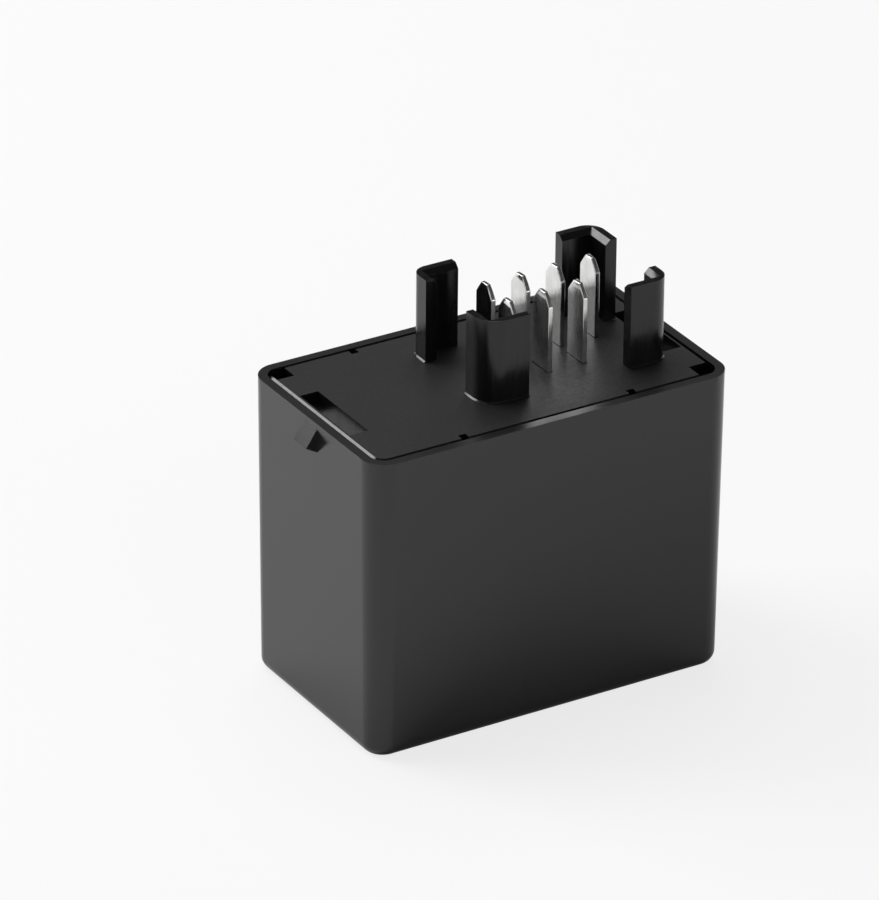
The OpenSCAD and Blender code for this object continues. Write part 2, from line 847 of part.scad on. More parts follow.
// Eight-lead flat package under the board
module flasher_chip() {
    body = [3.9, 4.9, 1.4];
    stand = 0.15;
    lead_w = 0.4;
    lead_pitch = 1.27;
    reach = 3;
    color("#26272a")
        translate([0, chip_y, board_bottom]) mirror([0, 0, 1]) {
            translate([-body[0] / 2, -body[1] / 2, stand]) cube(body);
            for (i = [-1.5 : 1.5], s = [-1, 1])
                translate([0, i * lead_pitch + lead_w / 2, 0]) rotate([90, 0, 0]) linear_extrude(lead_w)
                    mirror([s > 0 ? 0 : 1, 0])
                        polygon([
                            [body[0] / 2 - lap, 0.7], [body[0] / 2 + 0.35, 0.7], [body[0] / 2 + 0.45, 0],
                            [reach, 0], [reach, 0.2], [body[0] / 2 + 0.6, 0.2],
                            [body[0] / 2 + 0.5, 0.9], [body[0] / 2 - lap, 0.9],
                        ]);
        }
}

module chip_resistors() {
    size = [1.25, 2, 0.5];
    from_chip = 4.1;
    step = 2.6;
    color("#2b2b30")
        for (sx = [-1, 1], sy = [-1, 1])
            translate([sx * from_chip - size[0] / 2, chip_y + (sy * step - size[1]) / 2,
                board_bottom - size[2]])
                cube(size);
}

// Two-lead diode lying across, its leads bent up into the board
module blocking_diode() {
    drop = 2.2;
    half = 2.6;
    bend = 0.6;
    z = board_bottom - drop;
    color("#2a2a2c") {
        translate([-half, diode_y, z]) rotate([0, 90, 0]) cylinder(h = 2 * half, r = diode_r);
        for (s = [0, 180])
            translate([0, diode_y, z]) rotate([0, 0, s]) {
                translate([half - lap, 0, 0]) rotate([0, 90, 0])
                    cylinder(h = lead_x - half + lap - bend, r = diode_lead_r);
                translate([lead_x - bend, 0, bend]) rotate([-90, 0, 0])
                    rotate_extrude(angle = 90) translate([bend, 0]) circle(diode_lead_r);
                translate([lead_x, 0, bend - lap])
                    cylinder(h = drop + board_t + stub + lap - bend, r = diode_lead_r);
            }
    }
}

// Bare wire loop that senses the lamp current
module current_shunt() {
    drop = 5;
    color("#a8835a")
        translate([0, shunt_y, board_bottom - drop]) {
            rotate([-90, 0, 0]) rotate_extrude(angle = 180) translate([shunt_half, 0]) circle(shunt_r);
            for (s = [-1, 1])
                translate([s * shunt_half, 0, 0]) cylinder(h = drop + board_t + stub, r = shunt_r);
        }
}

// ---------------------------------------------------------------- nodes

cover();
base();
terminal(0);  // terminal_1
terminal(1);  // terminal_2
terminal(2);  // terminal_3
terminal(3);  // terminal_4
terminal(4);  // terminal_5
terminal(5);  // terminal_6
terminal(6);  // terminal_7
circuit_board();
terminal_solder();
at_flasher() bobbin();  // flasher_bobbin
at_flasher() winding();  // flasher_winding
at_flasher() coil_pins();  // flasher_coil_pins
at_flasher() core();  // flasher_core
at_flasher() yoke();  // flasher_yoke
at_flasher() armature();  // flasher_armature
at_flasher() leaf();  // flasher_leaf
at_flasher() moving_contact();  // flasher_moving_contact
at_flasher() return_spring();  // flasher_return_spring
at_flasher() flex_lead();  // flasher_flex_lead
at_flasher() open_strip();  // flasher_open_strip
at_flasher() open_contact();  // flasher_open_contact
at_flasher() rest_strip();  // flasher_rest_strip
at_flasher() rest_contact();  // flasher_rest_contact
at_stand() bobbin();  // stand_bobbin
at_stand() winding();  // stand_winding
at_stand() coil_pins();  // stand_coil_pins
at_stand() core();  // stand_core
at_stand() yoke();  // stand_yoke
at_stand() armature();  // stand_armature
at_stand() leaf();  // stand_leaf
at_stand() moving_contact();  // stand_moving_contact
at_stand() return_spring();  // stand_return_spring
at_stand() flex_lead();  // stand_flex_lead
at_stand() open_strip();  // stand_open_strip
at_stand() open_contact();  // stand_open_contact
at_stand() rest_strip();  // stand_rest_strip
at_stand() rest_contact();  // stand_rest_contact
timing_capacitor();
flasher_chip();
chip_resistors();
blocking_diode();
current_shunt();
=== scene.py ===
"""Plug-in vehicle relay unit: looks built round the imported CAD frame.

The unit stands on the closed end of its cover with its blade terminals up.  Metres, Z up.
"""
import json
import math

import bmesh
import bpy
from mathutils import Matrix, Vector


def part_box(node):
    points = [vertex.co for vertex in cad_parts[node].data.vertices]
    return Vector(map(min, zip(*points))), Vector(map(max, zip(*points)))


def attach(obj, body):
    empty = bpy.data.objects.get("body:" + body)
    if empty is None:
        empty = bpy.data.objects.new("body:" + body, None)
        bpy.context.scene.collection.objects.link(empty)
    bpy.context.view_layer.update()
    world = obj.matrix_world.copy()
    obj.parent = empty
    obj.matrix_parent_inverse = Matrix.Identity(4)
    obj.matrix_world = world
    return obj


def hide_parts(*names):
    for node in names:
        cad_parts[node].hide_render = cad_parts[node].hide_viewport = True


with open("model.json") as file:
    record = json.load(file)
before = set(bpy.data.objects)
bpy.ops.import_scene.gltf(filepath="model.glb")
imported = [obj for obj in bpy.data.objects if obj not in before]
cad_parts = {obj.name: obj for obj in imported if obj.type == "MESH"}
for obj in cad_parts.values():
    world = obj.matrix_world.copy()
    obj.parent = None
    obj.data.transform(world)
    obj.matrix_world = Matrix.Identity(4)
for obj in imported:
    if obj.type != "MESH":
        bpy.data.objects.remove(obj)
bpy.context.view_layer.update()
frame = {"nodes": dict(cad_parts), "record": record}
nodes = frame["nodes"]
MM = 0.001

scene = bpy.context.scene
scene.view_settings.view_transform = "Standard"


# ------------------------------------------------------------ camera

CAMERA = {"azimuth": -31.24, "elevation": 27.48, "roll": 0.53, "distance": 0.76453, "lens": 320.0}
CAMERA_TARGET = Vector((-0.00575, 0.0, 0.02482))


def place_camera():
    az, el, roll = (math.radians(CAMERA[k]) for k in ("azimuth", "elevation", "roll"))
    back = Vector((math.sin(az) * math.cos(el), -math.cos(az) * math.cos(el), math.sin(el)))
    right = Vector((0, 0, 1)).cross(back).normalized()
    up = back.cross(right)
    turned_right = math.cos(roll) * right + math.sin(roll) * up
    turned_up = -math.sin(roll) * right + math.cos(roll) * up
    data = bpy.data.cameras.new("camera")
    data.lens = CAMERA["lens"]
    data.sensor_width = 36.0
    data.clip_start = 0.01
    data.clip_end = 20.0
    camera = bpy.data.objects.new("camera", data)
    scene.collection.objects.link(camera)
    turn = Matrix((turned_right, turned_up, back)).transposed().to_4x4()
    camera.matrix_world = Matrix.Translation(CAMERA_TARGET + back * CAMERA["distance"]) @ turn
    scene.camera = camera


# ------------------------------------------------------------ shader tools

class Shader:
    """A material's node tree with short calls for adding and joining nodes."""

    prefix = "ShaderNode"

    def __init__(self, tree):
        self.tree = tree

    def add(self, kind, **settings):
        made = self.tree.nodes.new(self.prefix + kind)
        for key, value in settings.items():
            if hasattr(made, key):
                setattr(made, key, value)
            else:
                self.put(value, made.inputs[key.replace("_", " ")])
        return made

    def put(self, value, socket):
        if isinstance(value, bpy.types.NodeSocket):
            self.tree.links.new(value, socket)
        else:
            socket.default_value = value

    def math(self, operation, a, b=0.0, clamp=False):
        made = self.tree.nodes.new("ShaderNodeMath")
        made.operation = operation
        made.use_clamp = clamp
        self.put(a, made.inputs[0])
        self.put(b, made.inputs[1])
        return made.outputs[0]

    def ramp(self, value, from_low, from_high, to_low=0.0, to_high=1.0):
        made = self.tree.nodes.new("ShaderNodeMapRange")
        for socket, v in zip(made.inputs, (value, from_low, from_high, to_low, to_high)):
            self.put(v, socket)
        return made.outputs[0]

    def soft(self, value, from_low, from_high, to_low=0.0, to_high=1.0):
        out = self.ramp(value, from_low, from_high, to_low, to_high)
        out.node.interpolation_type = "SMOOTHSTEP"
        return out

    def mix(self, factor, a, b, blend="MIX"):
        made = self.tree.nodes.new("ShaderNodeMix")
        made.data_type = "RGBA"
        made.blend_type = blend
        self.put(factor, made.inputs[0])
        self.put(a, made.inputs[6])
        self.put(b, made.inputs[7])
        return made.outputs[2]

    def noise(self, vector, scale, detail=3.0, rough=0.5):
        made = self.tree.nodes.new("ShaderNodeTexNoise")
        self.put(vector, made.inputs["Vector"])
        self.put(scale, made.inputs["Scale"])
        made.inputs["Detail"].default_value = detail
        made.inputs["Roughness"].default_value = rough
        return made.outputs[0]


def rgb(*channels):
    return (*channels, 1.0)


class Builder(Shader):
    """The same short calls for a geometry tree."""

    prefix = "GeometryNode"

    def curve_mesh(self, path, profile, closed=True):
        made = self.add("CurveToMesh")
        self.put(path, made.inputs["Curve"])
        self.put(profile, made.inputs["Profile Curve"])
        made.inputs["Fill Caps"].default_value = closed
        return made.outputs[0]

    def circle(self, sides, radius):
        made = self.add("CurvePrimitiveCircle", Resolution=sides)
        self.put(radius, made.inputs["Radius"])
        return made.outputs["Curve"]

    def vector(self, x=0.0, y=0.0, z=0.0):
        made = self.tree.nodes.new("ShaderNodeCombineXYZ")
        for socket, value in zip(made.inputs, (x, y, z)):
            self.put(value, socket)
        return made.outputs[0]

    def spiral(self, per_turn, turns, radius, height):
        made = self.add("CurveSpiral", Resolution=per_turn)
        for socket, value in (("Rotations", turns), ("Start Radius", radius), ("End Radius", radius),
                              ("Height", height)):
            self.put(value, made.inputs[socket])
        return made.outputs[0]

    def line(self, start, end):
        made = self.add("CurvePrimitiveLine")
        self.put(start, made.inputs["Start"])
        self.put(end, made.inputs["End"])
        return made.outputs[0]

    def join(self, *parts):
        made = self.add("JoinGeometry")
        for part in reversed(parts):
            self.tree.links.new(part, made.inputs[0])
        return made.outputs[0]

    def moved(self, geometry, offset):
        made = self.add("Transform")
        self.put(geometry, made.inputs["Geometry"])
        self.put(offset, made.inputs["Translation"])
        return made.outputs[0]


def growing_tree(name, sizes):
    """A geometry tree with named inputs for its sizes, its place and its material."""
    tree = bpy.data.node_groups.new(name, "GeometryNodeTree")
    tree.interface.new_socket("Geometry", in_out="INPUT", socket_type="NodeSocketGeometry")
    for label, value in sizes.items():
        kind = "Vector" if isinstance(value, tuple) else "Int" if isinstance(value, int) else "Float"
        socket = tree.interface.new_socket(label, in_out="INPUT", socket_type="NodeSocket" + kind)
        socket.default_value = value
    tree.interface.new_socket("Material", in_out="INPUT", socket_type="NodeSocketMaterial")
    tree.interface.new_socket("Geometry", in_out="OUTPUT", socket_type="NodeSocketGeometry")
    return tree, Builder(tree), tree.nodes.new("NodeGroupInput").outputs


def end_tree(tree, s, given, geometry):
    """Shades smoothly, realizes the instances, sets the material and closes the tree."""
    smooth = s.add("SetShadeSmooth")
    s.put(geometry, smooth.inputs["Geometry"])
    real = s.add("RealizeInstances")
    s.put(smooth.outputs[0], real.inputs["Geometry"])
    painted = s.add("SetMaterial")
    s.put(real.outputs[0], painted.inputs["Geometry"])
    s.put(given["Material"], painted.inputs["Material"])
    s.put(painted.outputs[0], tree.nodes.new("NodeGroupOutput").inputs[0])
    return tree


def winding_tree():
    """A coil's outer layer of round wire over the filled space beneath it."""
    tree, s, given = growing_tree("coil_turns", {
        "Place": (0.0, 0.0, 0.0), "Inner Radius": 0.0033, "Outer Radius": 0.0059, "Height": 0.0131,
        "Wire Radius": 0.00009, "Sides": 40})
    wire = given["Wire Radius"]
    path_radius = s.math("SUBTRACT", given["Outer Radius"], wire)
    rise = s.math("SUBTRACT", given["Height"], s.math("MULTIPLY", wire, 2.0))
    turns = s.math("DIVIDE", rise, s.math("MULTIPLY", wire, 2.0))
    path = s.spiral(given["Sides"], turns, path_radius, rise)
    layer = s.moved(s.curve_mesh(path, s.circle(6, wire)), s.vector(0.0, 0.0, wire))

    middle = s.math("MULTIPLY", s.math("ADD", given["Inner Radius"], path_radius), 0.5)
    box = s.add("CurvePrimitiveQuadrilateral")
    s.put(s.math("SUBTRACT", path_radius, given["Inner Radius"]), box.inputs["Width"])
    s.put(given["Height"], box.inputs["Height"])
    ring = s.circle(given["Sides"], middle)
    fill = s.moved(s.curve_mesh(ring, box.outputs[0]),
                   s.vector(0.0, 0.0, s.math("MULTIPLY", given["Height"], 0.5)))
    return end_tree(tree, s, given, s.moved(s.join(fill, layer), given["Place"]))


def spring_tree():
    """An extension spring: close turns between two straight tails that hook into its seats."""
    tree, s, given = growing_tree("return_spring_wire", {
        "Place": (0.0, 0.0, 0.0), "Coil Radius": 0.00062, "Wire Radius": 0.00015, "Turns": 12.0,
        "Height": 0.006, "Tail Below": 0.0024, "Tail Above": 0.002, "Neck": 0.0005})
    coil = s.spiral(18, given["Turns"], given["Coil Radius"], given["Height"])
    foot = s.vector(0.0, 0.0, s.math("MULTIPLY", given["Tail Below"], -1.0))
    low_neck = s.vector(0.0, 0.0, s.math("MULTIPLY", given["Neck"], -1.0))
    low = s.line(foot, low_neck)
    low_arm = s.line(low_neck, s.vector(given["Coil Radius"], 0.0, 0.0))
    high_neck = s.vector(0.0, 0.0, s.math("ADD", given["Height"], given["Neck"]))
    head = s.vector(0.0, 0.0, s.math("ADD", given["Height"], given["Tail Above"]))
    high = s.line(high_neck, head)
    high_arm = s.line(s.vector(given["Coil Radius"], 0.0, given["Height"]), high_neck)
    body = s.curve_mesh(s.join(coil, low, low_arm, high, high_arm), s.circle(8, given["Wire Radius"]))
    return end_tree(tree, s, given, s.moved(body, given["Place"]))


def braid_tree():
    """A flexible lead: strands wound both ways round the path that the mesh's edges give."""
    tree, s, given = growing_tree("flex_braid", {
        "Lead Radius": 0.0004, "Strand Radius": 0.00006, "Strands": 8, "Twists": 5.0})
    path = s.add("MeshToCurve")
    s.put(given["Geometry"], path.inputs[0])
    even = s.add("ResampleCurve", Count=56)
    s.put(path.outputs[0], even.inputs["Curve"])
    along = s.add("SplineParameter").outputs["Factor"]
    twist = s.math("MULTIPLY", s.math("MULTIPLY", along, given["Twists"]), 2 * math.pi)
    reach = s.math("SUBTRACT", given["Lead Radius"], s.math("MULTIPLY", given["Strand Radius"], 1.2))
    strand = s.circle(5, given["Strand Radius"])
    layers = []
    for way, inset in ((1.0, 0.0), (-1.0, 0.00003)):
        tilted = s.add("SetCurveTilt")
        s.put(even.outputs[0], tilted.inputs["Curve"])
        s.put(s.math("MULTIPLY", twist, way), tilted.inputs["Tilt"])
        ring = s.add("MeshCircle")
        s.put(given["Strands"], ring.inputs["Vertices"])
        s.put(s.math("SUBTRACT", reach, inset), ring.inputs["Radius"])
        spread = s.add("InstanceOnPoints")
        s.put(ring.outputs[0], spread.inputs["Points"])
        s.put(strand, spread.inputs["Instance"])
        real = s.add("RealizeInstances")
        s.put(spread.outputs[0], real.inputs["Geometry"])
        layers.append(s.curve_mesh(tilted.outputs[0], real.outputs[0]))
    heart = s.curve_mesh(even.outputs[0], s.circle(8, s.math("MULTIPLY", reach, 0.9)))
    return end_tree(tree, s, given, s.join(heart, *layers))


def solder_tree():
    """A hollow-sided cone of solder on every vertex of the mesh."""
    tree, s, given = growing_tree("solder_joints", {
        "Foot Radius": 0.00125, "Tip Radius": 0.0008, "Height": 0.0006})
    cones = []
    rings = ((0.0, 1.0), (0.2, 0.72), (0.5, 0.4), (0.8, 0.16), (1.0, 0.0))
    path = [s.vector(0.0, 0.0, s.math("MULTIPLY", given["Height"], -part)) for part, _ in rings]
    wide = s.math("SUBTRACT", given["Foot Radius"], given["Tip Radius"])
    for (start, end), (_, low), (_, high) in zip(zip(path, path[1:]), rings, rings[1:]):
        cone = s.add("MeshCone", Vertices=24)
        tall = s.tree.nodes.new("ShaderNodeSeparateXYZ")
        gap = s.tree.nodes.new("ShaderNodeVectorMath")
        gap.operation = "SUBTRACT"
        s.put(start, gap.inputs[0])
        s.put(end, gap.inputs[1])
        s.put(gap.outputs[0], tall.inputs[0])
        s.put(tall.outputs[2], cone.inputs["Depth"])
        for part, socket in ((high, "Radius Bottom"), (low, "Radius Top")):
            radius = s.math("ADD", given["Tip Radius"], s.math("MULTIPLY", wide, part))
            s.put(radius, cone.inputs[socket])
        cones.append(s.moved(cone.outputs[0], end))
    points = s.add("MeshToPoints")
    s.put(given["Geometry"], points.inputs["Mesh"])
    spread = s.add("InstanceOnPoints")
    s.put(points.outputs[0], spread.inputs["Points"])
    s.put(s.join(*cones), spread.inputs["Instance"])
    return end_tree(tree, s, given, spread.outputs[0])


def new_group(name, inputs, outputs):
    """A shader node group with named sockets; returns it with its tools and its two ends."""
    tree = bpy.data.node_groups.new(name, "ShaderNodeTree")
    for label, kind, value in inputs:
        socket = tree.interface.new_socket(label, in_out="INPUT", socket_type="NodeSocket" + kind)
        if value is not None:
            socket.default_value = value
    for label, kind in outputs:
        tree.interface.new_socket(label, in_out="OUTPUT", socket_type="NodeSocket" + kind)
    tools = Shader(tree)
    return tree, tools, tree.nodes.new("NodeGroupInput").outputs, tree.nodes.new("NodeGroupOutput").inputs


LOOKS_UP = 0.95             # least upward part of a normal that counts as level
NEAR_LEVEL = 0.0002         # how close to the etched level a face has to lie


def moulded_skin_group():
    """Skin of a plastic moulding: fine grain, cloudy gloss, draw marks and an etched top.

    Etch is how much duller the face is that looks up at Etch Level.
    """
    tree, s, given, out = new_group(
        "moulded_skin",
        [("Colour", "Color", rgb(0.01, 0.01, 0.01)), ("Roughness", "Float", 0.25),
         ("Cloud", "Float", 0.06), ("Cloud Size", "Float", 160.0),
         ("Grain", "Float", 0.03), ("Grain Size", "Float", 9000.0),
         ("Etch", "Float", 0.0), ("Etch Level", "Float", 1.0), ("Draw Marks", "Float", 0.0)],
        [("Colour", "Color"), ("Roughness", "Float"), ("Normal", "Vector")])
    place = s.add("TexCoord").outputs["Object"]
    height, facing = s.add("SeparateXYZ"), s.add("SeparateXYZ")
    s.put(place, height.inputs[0])
    s.put(s.add("NewGeometry").outputs["True Normal"], facing.inputs[0])
    flat_top = s.math("MULTIPLY", s.math("GREATER_THAN", facing.outputs[2], LOOKS_UP),
                      s.math("LESS_THAN", s.math("ABSOLUTE", s.math(
                          "SUBTRACT", height.outputs[2], given["Etch Level"])), NEAR_LEVEL))
    cloud = s.noise(place, given["Cloud Size"], 4.0, 0.6)
    fine = s.noise(place, given["Grain Size"], 2.0, 0.5)
    swing = s.math("MULTIPLY", s.math("SUBTRACT", cloud, 0.5), given["Cloud"])
    etched = s.math("ADD", given["Roughness"], s.math("MULTIPLY", flat_top, given["Etch"]))
    squeezed = s.add("VectorMath", operation="MULTIPLY")
    s.put(place, squeezed.inputs[0])
    squeezed.inputs[1].default_value = (1.0, 1.0, 0.04)
    marks = s.noise(squeezed.outputs[0], 2600.0, 3.0, 0.65)
    drawn = s.math("MULTIPLY", s.math("SUBTRACT", marks, 0.5), given["Draw Marks"])
    s.put(s.math("ADD", s.math("ADD", etched, swing), drawn, clamp=True), out["Roughness"])
    tone = s.ramp(cloud, 0.3, 0.7, 0.9, 1.1)
    s.put(s.mix(1.0, given["Colour"], tone, "MULTIPLY"), out["Colour"])
    bump = s.add("Bump", Strength=1.0, Distance=0.00002)
    s.put(s.math("MULTIPLY", fine, given["Grain"]), bump.inputs["Height"])
    s.put(bump.outputs["Normal"], out["Normal"])
    return tree


def plated_strip_group():
    """Rolled and plated strip: streaks along Z, faint cloudiness of the plating."""
    tree, s, given, out = new_group(
        "plated_strip",
        [("Colour", "Color", rgb(0.7, 0.7, 0.7)), ("Dull Colour", "Color", rgb(0.5, 0.5, 0.5)),
         ("Roughness", "Float", 0.25), ("Streak", "Float", 0.2), ("Streak Size", "Float", 5000.0),
         ("Patch Size", "Float", 900.0)],
        [("Colour", "Color"), ("Roughness", "Float"), ("Normal", "Vector")])
    place = s.add("TexCoord").outputs["Object"]
    squeezed = s.add("VectorMath", operation="MULTIPLY")
    s.put(place, squeezed.inputs[0])
    squeezed.inputs[1].default_value = (1.0, 1.0, 0.06)
    streak = s.noise(squeezed.outputs[0], given["Streak Size"], 3.0, 0.6)
    patch = s.noise(place, given["Patch Size"], 3.0, 0.6)
    s.put(s.mix(s.ramp(patch, 0.35, 0.7), given["Colour"], given["Dull Colour"]), out["Colour"])
    swing = s.math("MULTIPLY", s.math("SUBTRACT", streak, 0.5), given["Streak"])
    s.put(s.math("ADD", given["Roughness"], swing, clamp=True), out["Roughness"])
    bump = s.add("Bump", Strength=0.25, Distance=0.00001)
    s.put(streak, bump.inputs["Height"])
    s.put(bump.outputs["Normal"], out["Normal"])
    return tree


MOULDED_SKIN = moulded_skin_group()
PLATED_STRIP = plated_strip_group()
WINDING = winding_tree()
SPRING = spring_tree()
BRAID = braid_tree()
SOLDER = solder_tree()


def group_material(name, group, values, **sockets):
    """A Principled material whose colour, roughness and normal come from a group."""
    material = bpy.data.materials.new(name)
    material.use_nodes = True
    tree = material.node_tree
    principled = tree.nodes["Principled BSDF"]
    placed = tree.nodes.new("ShaderNodeGroup")
    placed.node_tree = group
    for label, value in values.items():
        placed.inputs[label].default_value = value
    tree.links.new(placed.outputs["Colour"], principled.inputs["Base Color"])
    tree.links.new(placed.outputs["Roughness"], principled.inputs["Roughness"])
    tree.links.new(placed.outputs["Normal"], principled.inputs["Normal"])
    for label, value in sockets.items():
        principled.inputs[label.replace("_", " ")].default_value = value
    return material


def plastic(name, colour, roughness, cloud=0.06, grain=0.03, etch=(0.0, 1.0), marks=0.0, **sockets):
    return group_material(
        name, MOULDED_SKIN,
        {"Colour": rgb(*colour), "Roughness": roughness, "Cloud": cloud, "Grain": grain,
         "Etch": etch[0], "Etch Level": etch[1], "Draw Marks": marks}, **sockets)


def metal(name, colour, dull, roughness, streak=0.15):
    return group_material(
        name, PLATED_STRIP,
        {"Colour": rgb(*colour), "Dull Colour": rgb(*dull), "Roughness": roughness, "Streak": streak},
        Metallic=1.0)


PLATE_TOP = 0.0318          # the etched face of the base, level with the cover's rim

MATERIALS = {
    "cover_plastic": plastic("cover_plastic", (0.006, 0.006, 0.0063), 0.2, 0.04,
                             etch=(0.12, PLATE_TOP), IOR=1.58),
    "base_plastic": plastic("base_plastic", (0.004, 0.004, 0.0042), 0.2, etch=(0.36, PLATE_TOP),
                            marks=0.3, IOR=1.5),
    "tinned_brass": metal("tinned_brass", (0.84, 0.84, 0.83), (0.7, 0.7, 0.69), 0.16, 0.25),
    "circuit_board": plastic("circuit_board", (0.03, 0.11, 0.04), 0.35),
    "solder": metal("solder", (0.62, 0.63, 0.64), (0.48, 0.49, 0.5), 0.3),
    "bobbin_plastic": plastic("bobbin_plastic", (0.70, 0.63, 0.48), 0.45),
    "enamelled_wire": metal("enamelled_wire", (0.55, 0.20, 0.07), (0.42, 0.13, 0.04), 0.22),
    "plated_iron": metal("plated_iron", (0.52, 0.53, 0.54), (0.42, 0.43, 0.44), 0.35),
    "spring_copper": metal("spring_copper", (0.72, 0.42, 0.22), (0.55, 0.30, 0.15), 0.28),
    "contact_silver": metal("contact_silver", (0.80, 0.80, 0.80), (0.66, 0.66, 0.67), 0.25),
    "spring_steel": metal("spring_steel", (0.50, 0.51, 0.53), (0.40, 0.41, 0.43), 0.25),
    "braid_copper": metal("braid_copper", (0.62, 0.28, 0.13), (0.45, 0.18, 0.08), 0.4),
    "strip_brass": metal("strip_brass", (0.75, 0.56, 0.25), (0.58, 0.42, 0.18), 0.27),
    "capacitor_sleeve": plastic("capacitor_sleeve", (0.008, 0.009, 0.02), 0.2),
    "chip_resin": plastic("chip_resin", (0.015, 0.015, 0.016), 0.5),
    "chip_ceramic": plastic("chip_ceramic", (0.02, 0.02, 0.024), 0.3),
    "diode_resin": plastic("diode_resin", (0.014, 0.014, 0.015), 0.42),
    "shunt_alloy": metal("shunt_alloy", (0.60, 0.44, 0.28), (0.46, 0.33, 0.20), 0.3),
}

SLOT_OF = {part["node"]: part["material_slot"] for part in frame["record"]["subparts"]}
BODY_OF = {node: body for body, members in frame["record"]["behaviour"]["bodies"].items()
           for node in members}
HINGE_OF = {joint["name"]: joint["pos_m"] for joint in frame["record"]["behaviour"]["joints"]}


# ------------------------------------------------------------ pieces

def link(name, mesh):
    piece = bpy.data.objects.new(name, mesh)
    scene.collection.objects.link(piece)
    return piece


def settle(piece):
    """Turns a piece's modifiers into a plain mesh."""
    depsgraph = bpy.context.evaluated_depsgraph_get()
    done = bpy.data.meshes.new_from_object(piece.evaluated_get(depsgraph))
    piece.modifiers.clear()
    piece.data = done
    return piece


def merged_copy(node, flatten=True):
    """The CAD node's shape as a closed mesh, its flat faces in one piece each if flatten is set."""
    mesh = nodes[node].data.copy()
    work = bmesh.new()
    work.from_mesh(mesh)
    bmesh.ops.remove_doubles(work, verts=work.verts, dist=1e-7)
    if flatten:
        bmesh.ops.dissolve_limit(
            work, angle_limit=math.radians(0.5), verts=work.verts, edges=work.edges)
    work.to_mesh(mesh)
    work.free()
    mesh.materials.clear()
    return mesh


def stand_for(piece, node):
    """Makes a finished piece stand for a CAD node."""
    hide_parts(node)
    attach(piece, BODY_OF[node])


def weigh_edges(mesh, limit, share):
    """Marks every sharp edge with its share of the rounding; share takes the edge's middle."""
    work = bmesh.new()
    work.from_mesh(mesh)
    weight = work.edges.layers.float.new("bevel_weight_edge")
    for edge in work.edges:
        if len(edge.link_faces) == 2 and edge.calc_face_angle() > limit:
            edge[weight] = share((edge.verts[0].co + edge.verts[1].co) / 2)
    work.to_mesh(mesh)
    work.free()


def rounded(node, radius, segments=3, limit=28.0, flatten=True, share=None):
    """A copy of a CAD node with its edges rounded, standing for that node."""
    piece = link(node + "_shape", merged_copy(node, flatten))
    bevel = piece.modifiers.new("edges", "BEVEL")
    bevel.width = radius
    bevel.segments = segments
    if share:
        weigh_edges(piece.data, math.radians(limit), share)
        bevel.limit_method = "WEIGHT"
    else:
        bevel.limit_method = "ANGLE"
        bevel.angle_limit = math.radians(limit)
    bevel.use_clamp_overlap = True
    bevel.miter_outer = "MITER_ARC"
    piece.data.shade_smooth()
    weighted = piece.modifiers.new("shading", "WEIGHTED_NORMAL")
    weighted.keep_sharp = True
    settle(piece)
    piece.data.materials.append(MATERIALS[SLOT_OF[node]])
    stand_for(piece, node)
    return piece


def grown(node, tree, sizes, points=(), edges=()):
    """A piece that a geometry tree makes from its sizes and a few points, standing for a CAD node."""
    mesh = bpy.data.meshes.new(node + "_shape")
    mesh.from_pydata(points, edges, [])
    piece = link(node + "_shape", mesh)
    modifier = piece.modifiers.new(tree.name, "NODES")
    modifier.node_group = tree
    wanted = dict(sizes, Material=MATERIALS[SLOT_OF[node]])
    for socket in tree.interface.items_tree:
        if socket.in_out == "INPUT" and socket.name in wanted:
            modifier[socket.identifier] = wanted[socket.name]
    settle(piece)
    stand_for(piece, node)
    return piece


def repaint(piece, material, where):
    """Gives the faces whose middles pass a test another material."""
    piece.data.materials.append(material)
    for face in piece.data.polygons:
        if where(face.center):
            face.material_index = len(piece.data.materials) - 1


def between(a, b, c, d, share):
    """A point of the cubic curve from a to d drawn towards b and c."""
    rest = 1 - share
    return (rest ** 3 * a + 3 * rest ** 2 * share * b + 3 * rest * share ** 2 * c + share ** 3 * d)


def middle_of(box):
    return (Vector(box[0]) + Vector(box[1])) / 2


# places in a relay, in millimetres
SPRING_REACH = 0.77         # from the spring's side to its axis
SPRING_RISE = 1.2           # from the pole face up to the first turn
LEAD_RADIUS = 0.4
LEAD_START = Vector((-1.6, 3.5, 4.6))       # from the relay's middle, on the stand's level
LEAD_RISE = 2.6             # from the pole face up to the lead's end
LEAD_STEPS = 24


def relay_pieces(name):
    """The wound, coiled and braided pieces of one relay."""
    axis = middle_of(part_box(name + "_bobbin"))
    wound_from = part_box(name + "_winding")[0][2]
    grown(name + "_winding", WINDING, {"Place": (axis.x, axis.y, wound_from)})

    pole_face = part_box(name + "_core")[0][2]
    spring_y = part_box(name + "_return_spring")[0][1] + SPRING_REACH * MM
    grown(name + "_return_spring", SPRING, {"Place": (axis.x, spring_y, pole_face + SPRING_RISE * MM)})

    yoke_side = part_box(name + "_yoke")[0][0]
    hinge_y = HINGE_OF[name + "_armature_hinge"][1]
    start = Vector((axis.x, 0.0, 0.0)) + LEAD_START * MM
    end = Vector((yoke_side - LEAD_RADIUS * MM, hinge_y, pole_face + LEAD_RISE * MM))
    pull = start + Vector((-3.0, 0.0, -2.4)) * MM, end + Vector((-0.6, 0.0, -6.1)) * MM
    path = [between(start, *pull, end, i / LEAD_STEPS) for i in range(LEAD_STEPS + 1)]
    grown(name + "_flex_lead", BRAID, {}, path, [(i, i + 1) for i in range(LEAD_STEPS)])


def finish_cad_nodes():
    for node, piece in nodes.items():
        piece.data.materials.clear()
        piece.data.materials.append(MATERIALS[SLOT_OF[node]])


# ------------------------------------------------------------ stage

